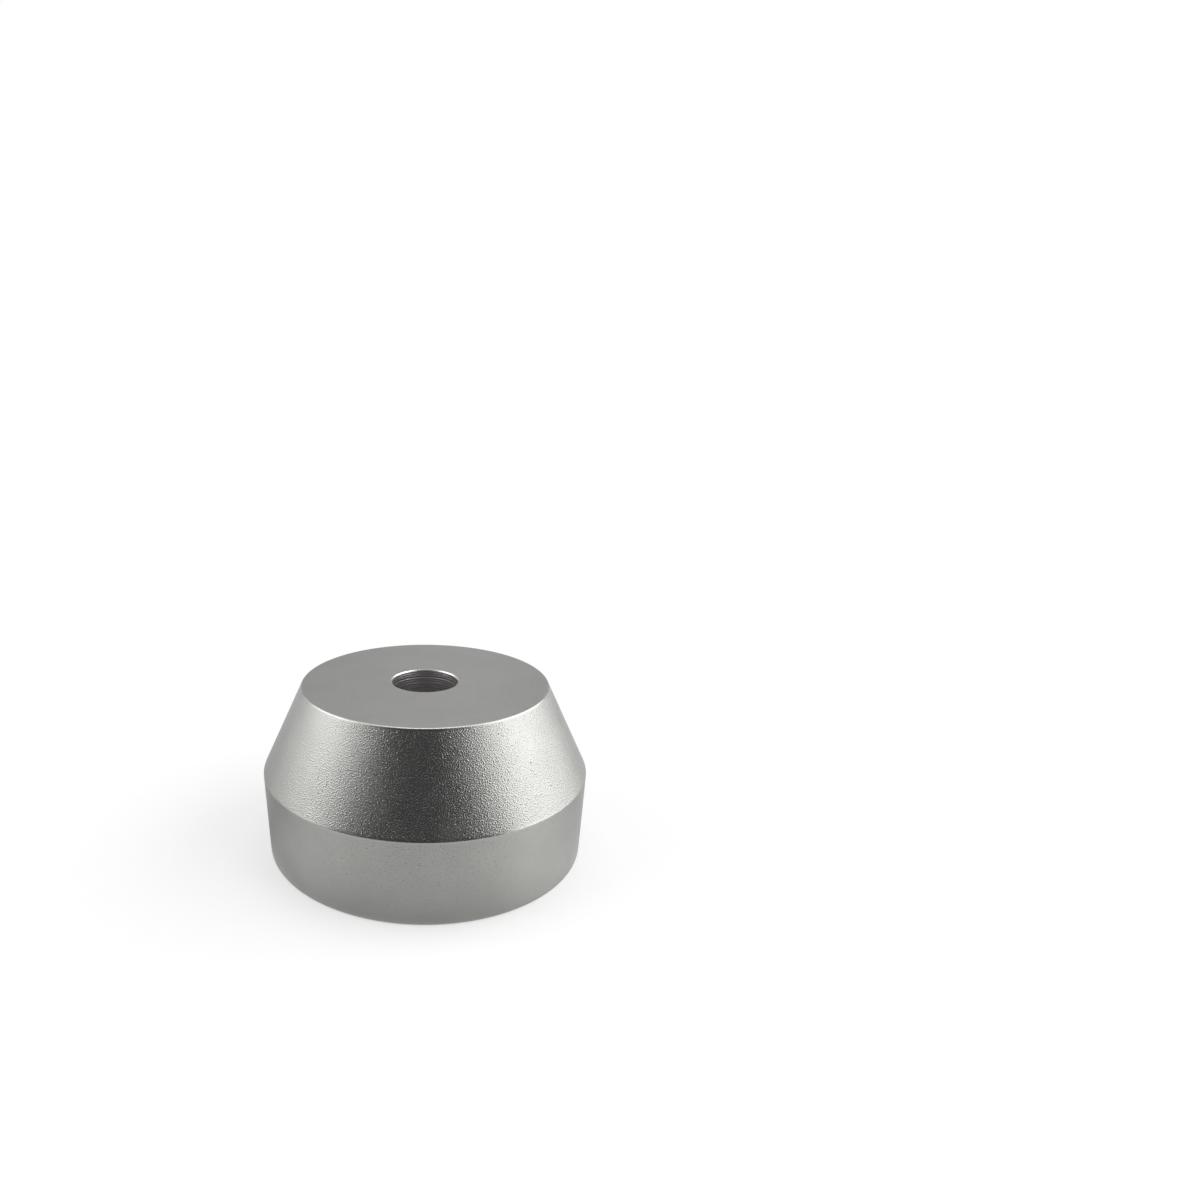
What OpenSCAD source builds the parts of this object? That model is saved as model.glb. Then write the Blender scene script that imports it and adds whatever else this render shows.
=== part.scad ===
// Spindle adapter for records with a large centre hole: a cone on a short cylinder,
// turned from one piece of aluminium and bored through for the spindle.
// Millimetres. The base stands on Z = 0, and Z is the axis of the spindle.

/* [Body] */
// Diameter of the straight wall, which the large hole of a record drops over
wall_d = 38; // [34:0.1:42]
// Height of the straight wall, from the base to the shoulder
wall_h = 10; // [4:0.5:16]
// Height of the cone, from the shoulder to the top face
cone_h = 10; // [4:0.5:16]
// Diameter of the top face, to the corner where it meets the cone
top_d = 28; // [20:0.5:32]

/* [Spindle hole] */
// Diameter of the hole, an easy fit on the spindle
bore_d = 7.5; // [6:0.05:10]
// Width of the 45 degree chamfer at each mouth of the hole
mouth_chamfer = 0.15; // [0.1:0.05:1]

/* [Eased edges] */
// Radius where the cone turns over into the top face
rim_r = 0.2; // [0.1:0.05:1]
// Radius where the cone meets the straight wall
shoulder_r = 0.4; // [0.1:0.05:2]
// Radius around the foot of the straight wall
foot_r = 0.3; // [0.1:0.05:1]

/* [Hidden] */
$fn = 128;
// Straight steps in each eased edge
arc_steps = 6;
height = wall_h + cone_h;
bore_r = bore_d / 2;
mouth_r = bore_r + mouth_chamfer;

// Corners of the half section, as [distance from the axis, height]
base_mouth = [mouth_r, 0];
foot = [wall_d / 2, 0];
shoulder = [wall_d / 2, wall_h];
rim = [top_d / 2, height];
top_mouth = [mouth_r, height];

// Direction of travel from one corner to the next, in degrees
function heading(from, to) = atan2(to.y - from.y, to.x - from.x);

// Points of the arc that eases a corner of the section, which is walked anticlockwise
function eased(before, corner, after, radius) =
    let (
        enters = heading(before, corner),
        turn = heading(corner, after) - enters,
        outward = enters - 90,
        middle = outward + turn / 2,
        centre = corner - radius / cos(turn / 2) * [cos(middle), sin(middle)]
    )
    [for (step = [0 : arc_steps])
        let (angle = outward + turn * step / arc_steps)
        centre + radius * [cos(angle), sin(angle)]];

// Half section of the turned body, from the bore out to the wall
module section() {
    polygon(concat(
        [base_mouth],
        eased(base_mouth, foot, shoulder, foot_r),
        eased(foot, shoulder, rim, shoulder_r),
        eased(shoulder, rim, top_mouth, rim_r),
        [top_mouth],
        [[bore_r, height - mouth_chamfer], [bore_r, mouth_chamfer]]
    ));
}

// The whole adapter, one turned piece
module adapter_body() {
    color([0.72, 0.72, 0.71]) rotate_extrude() section();
}

adapter_body();
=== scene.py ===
import math

import bpy
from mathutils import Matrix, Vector


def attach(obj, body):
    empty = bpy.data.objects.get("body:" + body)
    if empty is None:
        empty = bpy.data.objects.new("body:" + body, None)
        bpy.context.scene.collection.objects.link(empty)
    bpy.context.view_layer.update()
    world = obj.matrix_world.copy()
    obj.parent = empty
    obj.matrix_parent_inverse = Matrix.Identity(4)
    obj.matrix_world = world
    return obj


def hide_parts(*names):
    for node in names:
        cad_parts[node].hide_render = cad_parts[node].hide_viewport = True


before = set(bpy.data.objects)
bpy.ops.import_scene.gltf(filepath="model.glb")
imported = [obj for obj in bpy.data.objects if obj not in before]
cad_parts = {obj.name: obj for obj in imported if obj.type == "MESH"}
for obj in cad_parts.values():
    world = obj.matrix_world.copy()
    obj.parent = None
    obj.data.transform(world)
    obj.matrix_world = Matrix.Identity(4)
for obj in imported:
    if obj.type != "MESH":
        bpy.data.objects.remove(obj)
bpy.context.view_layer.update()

MM = 0.001


# Sizes

BODY = {
    "Wall diameter": 38.0,
    "Wall height": 10.0,
    "Cone height": 10.0,
    "Top diameter": 28.0,
    "Bore diameter": 7.5,
    "Mouth chamfer": 0.15,
    "Rim radius": 0.2,
    "Shoulder radius": 0.4,
    "Foot radius": 0.3,
    "Mouth edge radius": 0.02,
    "Ring pitch": 0.3,
    "Ring depth": 0.026,
}
STEPS = {
    "Steps around": 216,
    "Steps in edge": 10,
    "Steps in ring": 6,
}
WALL_RADIUS = BODY["Wall diameter"] / 2
TOP_RADIUS = BODY["Top diameter"] / 2
BORE_RADIUS = BODY["Bore diameter"] / 2
HEIGHT = BODY["Wall height"] + BODY["Cone height"]

# The shallowest ring in the bore, as a share of the ring depth, and the seed of the rings' depths
SHALLOWEST_RING = 0.5
RING_SEED = 4

# Points of the section that are this near each other are joined
WELD_DISTANCE = 0.001

# How far inside the corner of the mouth the bore's finish ends
FINISH_MARGIN = 0.01


# Outer finish

ANODISED = (0.329, 0.327, 0.315, 1.0)
# Lighter colour of the eased edges: edge wear, and on the rim also a painted highlight
RUBBED_AND_HIGHLIT = (0.48, 0.476, 0.46, 1.0)

# Patterns, as features to the metre and levels of finer detail in them
FINE_GRAIN = (11500.0, 1.0)
SPECKLE = (6000.0, 1.0)
CLOUDS = (260.0, 3.0)
ROUGH_CLOUDS = (420.0, 3.0)
UNEVEN_RUB_AND_HIGHLIGHT = (900.0, 2.0)

# Tone and roughness that a pattern gives, as the lowest value and the spread above it
SPECKLE_TONE = (0.95, 0.1)
CLOUD_TONE = (0.92, 0.16)
CLOUD_ROUGHNESS = (0.275, 0.08)

# Blasted grain: dimples to the metre, how far the ridges between them are rounded, the share of the
# finer grain, and the depth of one unit of relief
DIMPLES = 7000.0
RIDGE_ROUNDING = 0.1
FINE_GRAIN_SHARE = 0.45
GRAIN_DEPTH = 0.0265

# The dimples are laid out round the wall and cone at this radius and up them by this multiple of the
# height, and flat over the top face, which starts at this height
LAYOUT_RADIUS = (WALL_RADIUS + TOP_RADIUS) / 2
LAYOUT_SLOPE = 1.1
TOP_FACE_FROM = HEIGHT - 0.05

# Middles of the eased edges, as radius and height, with the reach of the rubbed line and how strongly it is
# rubbed. The line's lighter colour is edge wear and, strongest on the rim, a painted highlight.
RUBBED_AND_HIGHLIT_EDGES = (
    (TOP_RADIUS - 0.02, HEIGHT - 0.03, 0.16, 1.0),
    (WALL_RADIUS - 0.01, BODY["Wall height"], 0.18, 0.35),
    (WALL_RADIUS - 0.09, 0.09, 0.2, 0.25),
)

# Least and most of the rubbing and painted highlight round an edge, and what the rubbing takes off the
# roughness
LEAST_RUB_AND_HIGHLIGHT = 0.6
MOST_RUB_AND_HIGHLIGHT = 1.3
RUBBED_POLISH = 0.06

# The grain is smoothed over a band this many times as wide as the rubbed line, and this far
SMOOTHED_BAND = 2.2
SMOOTHING = 0.8

# Small pits, one to each cell of a pattern in space: cells to the metre, and a pit's radius as a
# share of its cell. Only the few that reach the surface show.
PIT_CELLS = 420.0
PIT_SHARE = 0.028

# How steep the sides of a pit are, its depth in units of relief, its darker tone, which is painted shade in
# the hollow, and its added roughness
PIT_STEEPNESS = 1.6
PIT_RELIEF = 0.6
PIT_PAINTED_SHADE = 0.45
PIT_ROUGHENING = 0.25

# Middles of the clearest pits, on the cone, and their radius
CLEAR_PITS = ((7.33, -12.62, 18.81), (10.83, -12.17, 15.41), (13.19, -11.84, 12.55))
CLEAR_PIT_RADIUS = 0.11


# Bore finish

BORE_METAL = (0.503, 0.485, 0.488, 1.0)
# Lighter colour of the chamfers: a painted highlight on them
CHAMFER_PAINTED_HIGHLIGHT = (0.66, 0.65, 0.63, 1.0)
BORE_GRAIN = (9000.0, 1.0)
BORE_GRAIN_DEPTH = 0.012

# Changes of tone to one turn of the tool, and the tone and roughness that they give, as the lowest
# value and the spread above it
RING_CHANGES = 1.9
RING_TONE = (0.6, 0.8)
RING_ROUGHNESS = (0.26, 0.2)

# How far outside the wall of the bore the painted highlight of a chamfer, a brighter metal colour, starts
# and is complete
CHAMFER_FROM = 0.032
CHAMFER_FULL = 0.05


# Camera and light

FRAME_PIXELS = 1200
FOCAL_PIXELS = 749.9
AIM_PIXEL = (424.9, 766.85)
SENSOR_WIDTH = 36.0
CAMERA_ELEVATION = math.radians(26.03)
CAMERA_DISTANCE = 90.47 * MM
AIM = Vector((0.0, 0.0, 9.0 * MM))
LAMP_AIM = Vector((0.0, 0.0, 12.0 * MM))

WHITE = (1.0, 1.0, 1.0, 1.0)
ROOM_LIGHT = 0.4

# Floor: how pale the part that the lamps light is, how strongly it glows, and the radii between which
# it turns to plain white
FLOOR_LIT = (0.55, 0.55, 0.55, 1.0)
FLOOR_GLOW = 0.45
FLOOR_NEAR = 40.0
FLOOR_FAR = 130.0
FLOOR_REACH = 3000.0

# Table in the reflection that the wall shows: its greys by azimuth, which are painted light and shade of
# the lit floor, brighter where the lamps light it. A colour ramp holds half of each, because it ends at 1,
# and the strengths below make up for that.
TABLE_PAINTED_LIGHT = (
    (-180, 0.8), (-90, 0.6), (-72, 0.98), (-55, 1.18), (-42, 1.2), (-28, 1.06), (0, 1.05), (25, 1.14),
    (45, 1.45), (62, 1.42), (78, 1.15), (95, 0.9), (180, 0.8))
TABLE_INNER = 19.4
TABLE_OUTER = 90.0
TABLE_LIFT = 0.05
TABLE_STEPS = 64

# Strength of that reflection at the foot of the wall, kept low there as a painted shadow of the object, and
# rising between two places further to the right, given as sideways distance over radius
FOOT_SIDEWAYS = (0.25, 0.6)
FOOT_SHADOWED_STRENGTHS = (1.18, 1.42)

# Its strength further out, where it is the same all round, and the radii between which it changes
OUTER_STRENGTH = 1.78
STRENGTH_RADII = (19.0, 27.0)


# Node helpers

class Tree:
    """Adds nodes to a node tree and links them, with short calls."""

    def __init__(self, tree):
        self.tree = tree

    def add(self, kind, inputs=None, **settings):
        node = self.tree.nodes.new(kind)
        for name, value in settings.items():
            setattr(node, name, value)
        for key, value in (inputs or {}).items():
            self.feed(node.inputs[key], value)
        return node

    def feed(self, socket, value):
        if isinstance(value, bpy.types.NodeSocket):
            self.tree.links.new(value, socket)
        elif isinstance(value, bpy.types.Node):
            self.tree.links.new(value.outputs[0], socket)
        else:
            socket.default_value = value

    def math(self, operation, *values, clamp=False):
        node = self.add("ShaderNodeMath", operation=operation, use_clamp=clamp)
        for socket, value in zip(node.inputs, values):
            self.feed(socket, value)
        return node.outputs[0]

    def length(self, across, along):
        """Distance between two points, from how far apart they are across and along."""
        squares = (self.math("MULTIPLY", side, side) for side in (across, along))
        return self.math("SQRT", self.math("ADD", *squares))

    def show(self, shader, output="ShaderNodeOutputMaterial"):
        self.feed(self.add(output).inputs["Surface"], shader)


def new_material(name):
    """A material and its empty node tree."""
    material = bpy.data.materials.new(name)
    material.use_nodes = True
    material.node_tree.nodes.clear()
    return material, Tree(material.node_tree)


# Turned body

def index_switch(t, kind, values):
    """A value for each point of a line, by the point's index."""
    node = t.add("GeometryNodeIndexSwitch", data_type=kind)
    while len(node.index_switch_items) < len(values):
        node.index_switch_items.new()
    t.feed(node.inputs["Index"], t.add("GeometryNodeInputIndex"))
    for number, value in enumerate(values):
        t.feed(node.inputs[str(number)], value)
    return node.outputs[0]


def corner(t, radius, height):
    """A corner of the section. The sweep in turning_tree lays a section's Y downwards."""
    down = t.math("MULTIPLY", height, -1.0)
    return t.add("ShaderNodeCombineXYZ", {"X": radius, "Y": down}).outputs[0]


def moved_across(t, geometry, distance):
    """The geometry with each point moved along X by its own distance."""
    offset = t.add("ShaderNodeCombineXYZ", {"X": distance})
    return t.add("GeometryNodeSetPosition", {"Geometry": geometry, "Offset": offset})


def outside_line(t, size, bore_foot, bore_top, mouth, wall, height):
    """Section from the foot of the bore round the outside to its top, with its corners eased."""
    top = t.math("MULTIPLY", size["Top diameter"], 0.5)
    corners = [bore_foot, corner(t, mouth, 0.0), corner(t, wall, 0.0), corner(t, wall, size["Wall height"]),
               corner(t, top, height), corner(t, mouth, height), bore_top]
    radii = [0.0, size["Mouth edge radius"], size["Foot radius"], size["Shoulder radius"],
             size["Rim radius"], size["Mouth edge radius"], 0.0]
    line = t.add("GeometryNodeMeshLine", {"Count": len(corners)})
    line = t.add("GeometryNodeSetPosition", {
        "Geometry": line, "Position": index_switch(t, "VECTOR", corners)})
    line = t.add("GeometryNodeMeshToCurve", {"Mesh": line})
    line = t.add("GeometryNodeFilletCurve", {
        "Curve": line, "Count": size["Steps in edge"], "Radius": index_switch(t, "FLOAT", radii),
        "Limit Radius": True}, mode="POLY")
    return t.add("GeometryNodeCurveToMesh", {"Curve": line})


def bore_line(t, size, bore_foot, bore_top, height):
    """Wall of the bore, with a shallow ring for each turn of the tool, each of its own depth."""
    chamfers = t.math("MULTIPLY", size["Mouth chamfer"], 2.0)
    rings = t.math("ROUND", t.math("DIVIDE", t.math("SUBTRACT", height, chamfers), size["Ring pitch"]))
    count = t.math("ADD", t.math("MULTIPLY", rings, size["Steps in ring"]), 1.0)
    line = t.add("GeometryNodeMeshLine", {
        "Count": count, "Start Location": bore_top, "Offset": bore_foot}, mode="END_POINTS")
    turn = t.math("DIVIDE", t.add("GeometryNodeInputIndex").outputs[0], size["Steps in ring"])
    wave = t.math("ABSOLUTE", t.math("SINE", t.math("MULTIPLY", turn, math.pi)))
    own = t.add("FunctionNodeRandomValue", {
        "Min": SHALLOWEST_RING, "Max": 1.0, "ID": t.math("FLOOR", turn), "Seed": RING_SEED},
        data_type="FLOAT")
    own_depth = next(socket for socket in own.outputs if socket.enabled)
    cut = t.math("MULTIPLY", t.math("MULTIPLY", wave, own_depth), size["Ring depth"])
    return moved_across(t, line, cut)


def turning_tree():
    """Half section with eased corners and tool rings in the bore, turned about Z."""
    tree = bpy.data.node_groups.new("turned_section", "GeometryNodeTree")
    face = tree.interface
    for name in BODY:
        face.new_socket(name, in_out="INPUT", socket_type="NodeSocketFloat")
    for name in STEPS:
        face.new_socket(name, in_out="INPUT", socket_type="NodeSocketInt")
    for name in ("Outer finish", "Bore finish"):
        face.new_socket(name, in_out="INPUT", socket_type="NodeSocketMaterial")
    face.new_socket("Geometry", in_out="OUTPUT", socket_type="NodeSocketGeometry")

    t = Tree(tree)
    size = t.add("NodeGroupInput").outputs
    height = t.math("ADD", size["Wall height"], size["Cone height"])
    wall = t.math("MULTIPLY", size["Wall diameter"], 0.5)
    bore = t.math("MULTIPLY", size["Bore diameter"], 0.5)
    mouth = t.math("ADD", bore, size["Mouth chamfer"])
    bore_top = corner(t, bore, t.math("SUBTRACT", height, size["Mouth chamfer"]))
    bore_foot = corner(t, bore, size["Mouth chamfer"])

    # One closed section, swept round a circle
    section = t.add("GeometryNodeJoinGeometry", {
        "Geometry": outside_line(t, size, bore_foot, bore_top, mouth, wall, height)})
    t.feed(section.inputs["Geometry"], bore_line(t, size, bore_foot, bore_top, height))
    section = t.add("GeometryNodeMergeByDistance", {"Geometry": section, "Distance": WELD_DISTANCE * MM})
    section = t.add("GeometryNodeMeshToCurve", {"Mesh": section})
    section = moved_across(t, section, t.math("MULTIPLY", wall, -1.0))
    circle = t.add("GeometryNodeCurvePrimitiveCircle", {"Resolution": size["Steps around"], "Radius": wall})
    body = t.add("GeometryNodeCurveToMesh", {"Curve": circle, "Profile Curve": section})
    body = t.add("GeometryNodeFlipFaces", {"Mesh": body})
    body = t.add("GeometryNodeSetShadeSmooth", {"Geometry": body})

    x, y, _ = t.add("ShaderNodeSeparateXYZ", {"Vector": t.add("GeometryNodeInputPosition")}).outputs
    in_bore = t.math("LESS_THAN", t.length(x, y), t.math("SUBTRACT", mouth, FINISH_MARGIN * MM))
    body = t.add("GeometryNodeRealizeInstances", {"Geometry": body})
    body = t.add("GeometryNodeSetMaterial", {"Geometry": body, "Material": size["Outer finish"]})
    body = t.add("GeometryNodeSetMaterial", {
        "Geometry": body, "Selection": in_bore, "Material": size["Bore finish"]})
    t.feed(t.add("NodeGroupOutput").inputs[0], body)
    return tree


def make_body(outer_finish, bore_finish):
    """The whole adapter, as a plain mesh in place."""
    holder = bpy.data.objects.new("holder", bpy.data.meshes.new("holder"))
    bpy.context.scene.collection.objects.link(holder)
    modifier = holder.modifiers.new("turned", "NODES")
    modifier.node_group = turning_tree()
    values = {name: value * MM for name, value in BODY.items()}
    values.update(STEPS)
    values.update({"Outer finish": outer_finish, "Bore finish": bore_finish})
    for item in modifier.node_group.interface.items_tree:
        if item.in_out == "INPUT":
            modifier[item.identifier] = values[item.name]
    even = holder.modifiers.new("even_normals", "WEIGHTED_NORMAL")
    even.mode = "FACE_AREA"
    even.keep_sharp = False

    evaluated = holder.evaluated_get(bpy.context.evaluated_depsgraph_get())
    mesh = bpy.data.meshes.new_from_object(evaluated)
    bpy.data.objects.remove(holder)
    mesh.name = "turned_body"
    body = bpy.data.objects.new("turned_body", mesh)
    bpy.context.scene.collection.objects.link(body)
    return body


# Finishes

def new_finish(name):
    """An empty metal finish: its material, node tree, shader and place on the piece in metres."""
    finish, t = new_material(name)
    shader = t.add("ShaderNodeBsdfPrincipled", {"Metallic": 1.0})
    t.show(shader)
    return finish, t, shader, t.add("ShaderNodeTexCoord").outputs["Object"]


def radius_and_height(t, place):
    """Distance from the spindle's axis and height over the base, in metres."""
    x, y, z = t.add("ShaderNodeSeparateXYZ", {"Vector": place}).outputs
    return t.length(x, y), z


def turn_to_the_right(t, x, y):
    """Turn round the axis in radians, 0 on the camera's side."""
    return t.math("ARCTAN2", x, t.math("MULTIPLY", y, -1.0))


def nearness(t, away, reach):
    """1 at no distance, falling to 0 at a reach in millimetres."""
    return t.math("SUBTRACT", 1.0, t.math("DIVIDE", away, reach * MM), clamp=True)


def near_ring(t, radius, height, ring_radius, ring_height, reach):
    """1 on a circle round the axis, falling to 0 at a reach from it. The last three are millimetres."""
    outward = t.math("SUBTRACT", radius, ring_radius * MM)
    upward = t.math("SUBTRACT", height, ring_height * MM)
    return nearness(t, t.length(outward, upward), reach)


def blend_value(t, factor, low, high):
    return t.add("ShaderNodeMapRange", {"Value": factor, "To Min": low, "To Max": high}).outputs[0]


def noise(t, place, pattern):
    scale, detail = pattern
    return t.add("ShaderNodeTexNoise", {"Vector": place, "Scale": scale, "Detail": detail}).outputs[0]


def varied(t, pattern, values):
    """Values that follow a pattern, given as the lowest and the spread above it."""
    lowest, spread = values
    return t.math("MULTIPLY_ADD", pattern, spread, lowest)


def blend_colour(t, factor, low, high):
    mix = t.add("ShaderNodeMix", data_type="RGBA")
    for socket, value in zip((mix.inputs[0], mix.inputs[6], mix.inputs[7]), (factor, low, high)):
        t.feed(socket, value)
    return mix.outputs[2]


def tinted(t, colour, tone):
    """A colour made lighter or darker by a tone round 1."""
    return t.add("ShaderNodeVectorMath", {"Vector": colour, "Scale": tone}, operation="SCALE").outputs[0]


def small_pits(t, place):
    """1 in the few tiny pits of the outer face, 0 elsewhere."""
    cells = t.add("ShaderNodeTexVoronoi", {"Vector": place, "Scale": PIT_CELLS}).outputs["Distance"]
    pits = t.math("SUBTRACT", 1.0, t.math("DIVIDE", cells, PIT_SHARE), clamp=True)
    for point in CLEAR_PITS:
        away = t.add("ShaderNodeVectorMath", {0: place, 1: Vector(point) * MM}, operation="DISTANCE")
        pits = t.math("MAXIMUM", pits, nearness(t, away.outputs["Value"], CLEAR_PIT_RADIUS))
    return t.math("MULTIPLY", pits, PIT_STEEPNESS, clamp=True)


def along_the_face(t, place, height):
    """Place measured along the surface: round and up the wall and cone, and flat over the top."""
    x, y, _ = t.add("ShaderNodeSeparateXYZ", {"Vector": place}).outputs
    side = t.add("ShaderNodeCombineXYZ", {
        "X": t.math("MULTIPLY", turn_to_the_right(t, x, y), LAYOUT_RADIUS * MM),
        "Y": t.math("MULTIPLY", height, LAYOUT_SLOPE)})
    flat = t.add("ShaderNodeCombineXYZ", {"X": x, "Y": y})
    on_top = t.math("GREATER_THAN", height, TOP_FACE_FROM * MM)
    mix = t.add("ShaderNodeMix", data_type="VECTOR")
    for socket, value in zip((mix.inputs[0], mix.inputs[4], mix.inputs[5]), (on_top, side, flat)):
        t.feed(socket, value)
    return mix.outputs[1]


def rubbed_and_smoothed(t, place, radius, height):
    """How far the eased edges are rubbed and carry a painted highlight, unevenly round them, and how far
    their grain is smoothed.
    """
    rubbed_and_highlit = smoothed = 0.0
    for edge_radius, edge_height, reach, rubbing_and_highlight in RUBBED_AND_HIGHLIT_EDGES:
        line = near_ring(t, radius, height, edge_radius, edge_height, reach)
        band = near_ring(t, radius, height, edge_radius, edge_height, reach * SMOOTHED_BAND)
        rubbed_and_highlit = t.math("MAXIMUM", rubbed_and_highlit, t.math("MULTIPLY", line, rubbing_and_highlight))
        smoothed = t.math("MAXIMUM", smoothed, band)
    uneven = blend_value(t, noise(t, place, UNEVEN_RUB_AND_HIGHLIGHT), LEAST_RUB_AND_HIGHLIGHT, MOST_RUB_AND_HIGHLIGHT)
    return t.math("MULTIPLY", rubbed_and_highlit, uneven, clamp=True), smoothed


def blasted_anodised():
    """Bead-blasted aluminium under a clear anodised layer: matt and finely dimpled, rubbed at its edges
    with a painted highlight on them, and with painted shade in its small pits.
    """
    finish, t, shader, place = new_finish("blasted_anodised_aluminium")
    radius, height = radius_and_height(t, place)
    pits = small_pits(t, place)
    rubbed_and_highlit, smoothed = rubbed_and_smoothed(t, place, radius, height)

    # Round dimples left by the beads, which crowd each other, and a finer grain in them
    dimples = t.add("ShaderNodeTexVoronoi", {
        "Vector": along_the_face(t, place, height), "Scale": DIMPLES,
        "Smoothness": RIDGE_ROUNDING, "Randomness": 1.0},
        voronoi_dimensions="2D", feature="SMOOTH_F1").outputs["Distance"]
    hollows = t.math("MULTIPLY", dimples, dimples)
    relief = t.math("MULTIPLY_ADD", noise(t, place, FINE_GRAIN), FINE_GRAIN_SHARE, hollows)
    relief = t.math("SUBTRACT", relief, t.math("MULTIPLY", pits, PIT_RELIEF))
    strength = t.math("MULTIPLY_ADD", smoothed, -SMOOTHING, 1.0)
    t.feed(shader.inputs["Normal"], t.add("ShaderNodeBump", {
        "Height": relief, "Strength": strength, "Distance": GRAIN_DEPTH * MM}))

    speckle = varied(t, noise(t, place, SPECKLE), SPECKLE_TONE)
    clouds = varied(t, noise(t, place, CLOUDS), CLOUD_TONE)
    # Darker in the pits: painted shade in these hollows
    tone = t.math("MULTIPLY", t.math("MULTIPLY", speckle, clouds), blend_value(t, pits, 1.0, PIT_PAINTED_SHADE))
    # Lighter along the eased edges: edge wear, with a painted highlight strongest on the rim
    t.feed(shader.inputs["Base Color"], tinted(t, blend_colour(t, rubbed_and_highlit, ANODISED, RUBBED_AND_HIGHLIT), tone))

    rough = varied(t, noise(t, place, ROUGH_CLOUDS), CLOUD_ROUGHNESS)
    rough = t.math("MULTIPLY_ADD", rubbed_and_highlit, -RUBBED_POLISH, rough)
    t.feed(shader.inputs["Roughness"], t.math("MULTIPLY_ADD", pits, PIT_ROUGHENING, rough))
    return finish


def machined_bore():
    """Bare turned metal inside the hole, with a tone to each tool ring, and a lighter colour on its
    chamfers that is a painted highlight.
    """
    finish, t, shader, place = new_finish("machined_bore_aluminium")
    radius, height = radius_and_height(t, place)
    turn = t.math("MULTIPLY", height, 1.0 / (BODY["Ring pitch"] * MM))
    rings = t.add("ShaderNodeTexNoise", {
        "W": turn, "Scale": RING_CHANGES, "Detail": 1.0}, noise_dimensions="1D").outputs[0]
    on_chamfer = t.add("ShaderNodeMapRange", {
        "Value": radius, "From Min": (BORE_RADIUS + CHAMFER_FROM) * MM,
        "From Max": (BORE_RADIUS + CHAMFER_FULL) * MM}).outputs[0]
    colour = blend_colour(t, on_chamfer, BORE_METAL, CHAMFER_PAINTED_HIGHLIGHT)
    t.feed(shader.inputs["Base Color"], tinted(t, colour, varied(t, rings, RING_TONE)))
    t.feed(shader.inputs["Roughness"], varied(t, rings, RING_ROUGHNESS))
    t.feed(shader.inputs["Normal"], t.add("ShaderNodeBump", {
        "Height": noise(t, place, BORE_GRAIN), "Strength": 1.0, "Distance": BORE_GRAIN_DEPTH * MM}))
    return finish


# Studio

def make_camera():
    camera = bpy.data.objects.new("camera", bpy.data.cameras.new("camera"))
    bpy.context.scene.collection.objects.link(camera)
    back = Vector((0.0, -math.cos(CAMERA_ELEVATION), math.sin(CAMERA_ELEVATION)))
    camera.location = AIM + back * CAMERA_DISTANCE
    camera.rotation_euler = (-back).to_track_quat("-Z", "Y").to_euler()
    lens = camera.data
    lens.sensor_width = SENSOR_WIDTH
    lens.lens = FOCAL_PIXELS / FRAME_PIXELS * SENSOR_WIDTH
    lens.shift_x = 0.5 - AIM_PIXEL[0] / FRAME_PIXELS
    lens.shift_y = AIM_PIXEL[1] / FRAME_PIXELS - 0.5
    lens.clip_start = 0.001
    lens.clip_end = 20.0
    bpy.context.scene.camera = camera


def direction(azimuth, elevation):
    """Unit vector from the object at an azimuth and an elevation."""
    turn = math.radians(azimuth)
    rise = math.radians(elevation)
    return Vector((math.sin(turn) * math.cos(rise), -math.cos(turn) * math.cos(rise), math.sin(rise)))


def softbox(name, azimuth, elevation, distance, width, height, radiance):
    """A soft area lamp, aimed at the upper part of the object."""
    data = bpy.data.lights.new(name, "AREA")
    data.shape = "RECTANGLE"
    data.size = width * MM
    data.size_y = height * MM
    data.energy = radiance * math.pi * data.size * data.size_y
    lamp = bpy.data.objects.new(name, data)
    bpy.context.scene.collection.objects.link(lamp)
    away = direction(azimuth, elevation)
    lamp.location = LAMP_AIM + away * distance * MM
    lamp.rotation_euler = (-away).to_track_quat("-Z", "Y").to_euler()


def stage_mesh(name, points, faces, material):
    mesh = bpy.data.meshes.new(name)
    mesh.from_pydata([Vector(point) * MM for point in points], [], faces)
    mesh.materials.append(material)
    obj = bpy.data.objects.new(name, mesh)
    bpy.context.scene.collection.objects.link(obj)
    return obj


def reflected_mesh(name, points, faces, material):
    """A stage mesh that the metal reflects, but that the camera doesn't see and that gives nothing else
    light or shadow."""
    card = stage_mesh(name, points, faces, material)
    card.visible_camera = False
    card.visible_diffuse = False
    card.visible_shadow = False


def plain_glow(name, grey, tint):
    """A flat tone that is the same in any light."""
    material, t = new_material(name)
    t.show(t.add("ShaderNodeEmission", {"Color": (*tint, 1.0), "Strength": grey}))
    return material


def curved_card(name, left, right, up, distance, grey, tint=(1.0, 1.0, 1.0), steps=12):
    """A card bent round the object. Its left and right edges are given by their azimuths at the foot
    and at the top, and its foot and top by their elevations."""
    points, faces = [], []
    for i in range(steps + 1):
        for j in range(steps + 1):
            share = j / steps
            left_here = left[0] + (left[1] - left[0]) * share
            right_here = right[0] + (right[1] - right[0]) * share
            azimuth = left_here + (right_here - left_here) * i / steps
            elevation = up[0] + (up[1] - up[0]) * share
            points.append(direction(azimuth, elevation) * distance)
    for i in range(steps):
        for j in range(steps):
            first = i * (steps + 1) + j
            faces.append((first, first + 1, first + steps + 2, first + steps + 1))
    reflected_mesh(name, points, faces, plain_glow(name, grey, tint))


def seen_ray(t):
    """1 for what the camera, metal or glass shows, and 0 for what only lights other things."""
    path = t.add("ShaderNodeLightPath").outputs
    shown = t.math("MAXIMUM", path["Is Camera Ray"], path["Is Glossy Ray"])
    return t.math("MAXIMUM", shown, path["Is Transmission Ray"])


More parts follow.
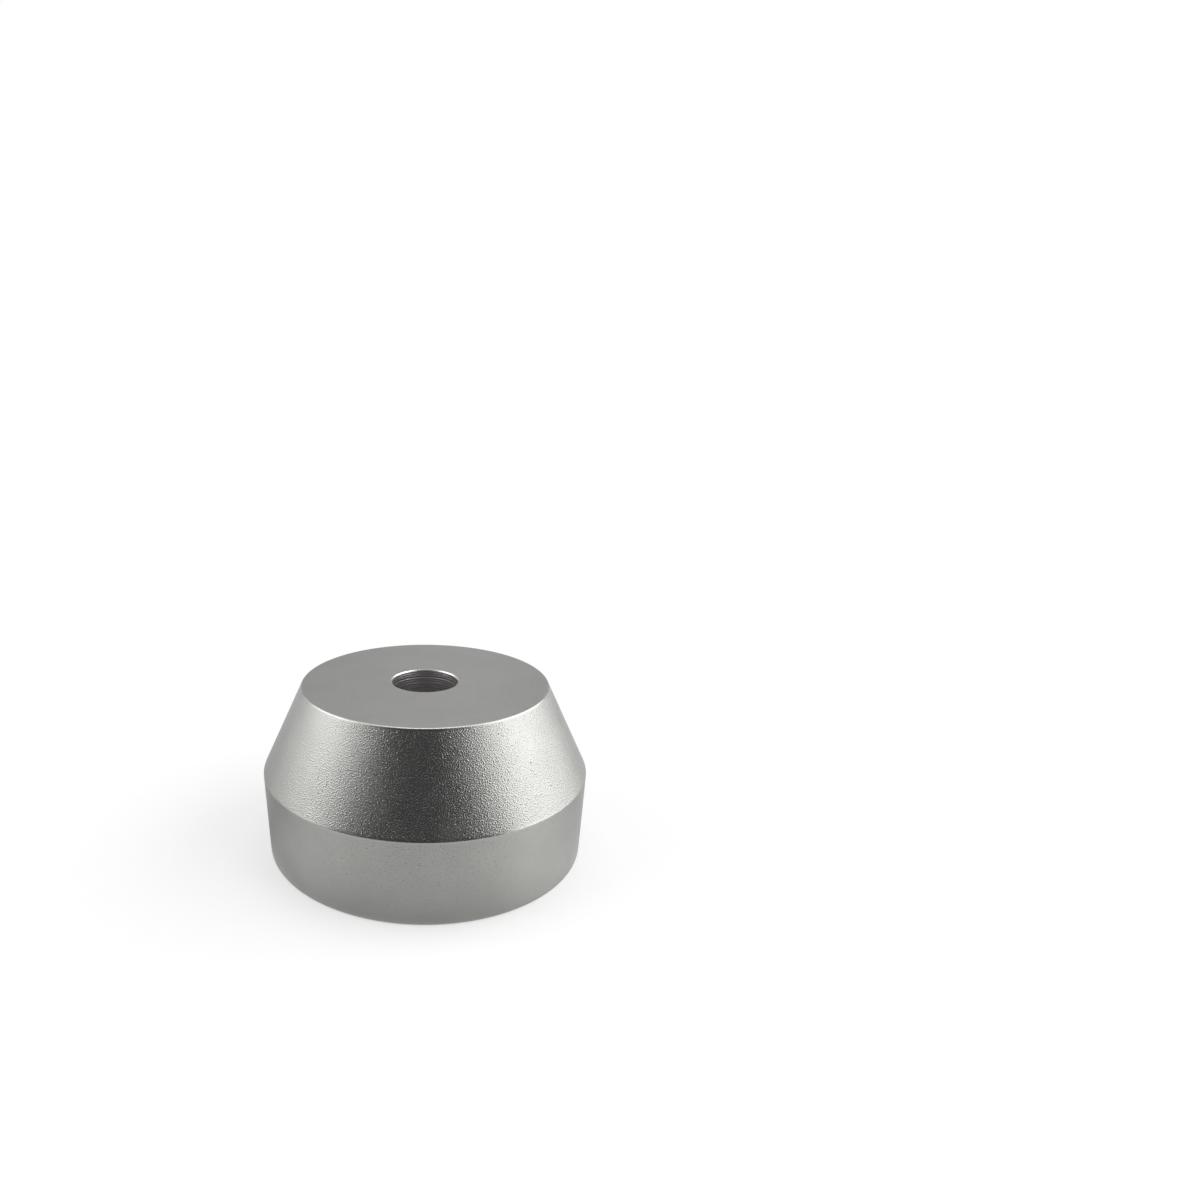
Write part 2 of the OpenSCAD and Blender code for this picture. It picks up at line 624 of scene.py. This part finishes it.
def white_floor():
    """White floor that keeps the object's shadow and is plain white away from it."""
    material, t = new_material("white_floor")
    radius, _ = radius_and_height(t, t.add("ShaderNodeTexCoord").outputs["Object"])
    far = t.add("ShaderNodeMapRange", {
        "Value": radius, "From Min": FLOOR_NEAR * MM, "From Max": FLOOR_FAR * MM},
        interpolation_type="SMOOTHSTEP")
    seen = seen_ray(t)
    glow = t.add("ShaderNodeEmission", {"Color": WHITE, "Strength": t.math("MULTIPLY", seen, FLOOR_GLOW)})
    near = t.add("ShaderNodeAddShader")
    t.feed(near.inputs[0], t.add("ShaderNodeBsdfDiffuse", {"Color": FLOOR_LIT}))
    t.feed(near.inputs[1], glow)
    mix = t.add("ShaderNodeMixShader", {"Fac": far})
    t.feed(mix.inputs[1], near)
    t.feed(mix.inputs[2], t.add("ShaderNodeEmission", {"Color": WHITE, "Strength": seen}))
    t.show(mix)
    return material


def table_tones():
    """Painted light and shade of the table round the wall, and their strength from the foot of the wall
    outwards, lower at the foot as a painted shadow.
    """
    material, t = new_material("table_card")
    place = t.add("ShaderNodeTexCoord").outputs["Object"]
    x, y, _ = t.add("ShaderNodeSeparateXYZ", {"Vector": place}).outputs
    turn = t.math("DIVIDE", turn_to_the_right(t, x, y), math.pi)
    ramp = t.add("ShaderNodeValToRGB", {"Fac": t.math("MULTIPLY_ADD", turn, 0.5, 0.5)})
    stops = ramp.color_ramp.elements
    for azimuth, _ in TABLE_PAINTED_LIGHT[1:-1]:
        stops.new((azimuth + 180.0) / 360.0)
    for stop, (_, grey) in zip(stops, TABLE_PAINTED_LIGHT):
        stop.color = (grey / 2, grey / 2, grey / 2, 1.0)

    radius = t.length(x, y)
    # Weaker at the foot of the wall: a painted shadow of the object on the table
    at_foot = t.add("ShaderNodeMapRange", {
        "Value": t.math("DIVIDE", x, radius), "From Min": FOOT_SIDEWAYS[0], "From Max": FOOT_SIDEWAYS[1],
        "To Min": FOOT_SHADOWED_STRENGTHS[0], "To Max": FOOT_SHADOWED_STRENGTHS[1]})
    strength = t.add("ShaderNodeMapRange", {
        "Value": radius, "From Min": STRENGTH_RADII[0] * MM, "From Max": STRENGTH_RADII[1] * MM,
        "To Min": at_foot, "To Max": OUTER_STRENGTH}, interpolation_type="SMOOTHSTEP")
    t.show(t.add("ShaderNodeEmission", {"Color": ramp.outputs[0], "Strength": strength}))
    return material


def table_card():
    """A glowing ring on the table, a painted reflection of the lit and shadowed floor, which the wall's
    reflection shows in place of the floor.
    """
    points, faces = [], []
    around = 2 * TABLE_STEPS
    for i in range(TABLE_STEPS):
        turn = 2 * math.pi * i / TABLE_STEPS
        for radius in (TABLE_INNER, TABLE_OUTER):
            points.append((radius * math.sin(turn), -radius * math.cos(turn), TABLE_LIFT))
        faces.append((2 * i, 2 * i + 1, (2 * i + 3) % around, (2 * i + 2) % around))
    reflected_mesh("table_card", points, faces, table_tones())


def make_room():
    """The world, which is white where it is seen and gives a weaker light."""
    world = bpy.data.worlds.new("white_room")
    world.use_nodes = True
    world.node_tree.nodes.clear()
    t = Tree(world.node_tree)
    strength = blend_value(t, seen_ray(t), ROOM_LIGHT, 1.0)
    t.show(t.add("ShaderNodeBackground", {"Color": WHITE, "Strength": strength}), "ShaderNodeOutputWorld")
    bpy.context.scene.world = world


def make_studio():
    make_room()
    reach = FLOOR_REACH
    stage_mesh("floor", [(-reach, -reach, 0), (reach, -reach, 0), (reach, reach, 0), (-reach, reach, 0)],
               [(0, 1, 2, 3)], white_floor())
    curved_card("dark_front", left=(-72, -39), right=(59, 37), up=(-2, 68), distance=150, grey=0.05,
                tint=(1.0, 0.9, 1.0))
    curved_card("dim_left", left=(-178, -178), right=(-124, -124), up=(-2, 34), distance=300, grey=0.57)
    curved_card("back_high", left=(-235, -235), right=(-124, -124), up=(21, 62), distance=420, grey=1.02)
    curved_card("back_right", left=(-235, -235), right=(-193, -193), up=(-2, 44), distance=380, grey=0.52)
    table_card()
    curved_card("back_wall", left=(-235, -235), right=(-124, -124), up=(-2, 20.5), distance=400, grey=0.58)
    softbox("right_softbox", azimuth=86, elevation=28, distance=260, width=420, height=290, radiance=2.08)
    softbox("left_softbox", azimuth=-89, elevation=28, distance=260, width=280, height=175, radiance=2.1)
    softbox("top_softbox", azimuth=180, elevation=80, distance=260, width=180, height=180, radiance=1.3)


make_camera()
body = make_body(blasted_anodised(), machined_bore())
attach(body, "root")
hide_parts("adapter_body")
make_studio()
bpy.context.scene.view_settings.view_transform = "Standard"
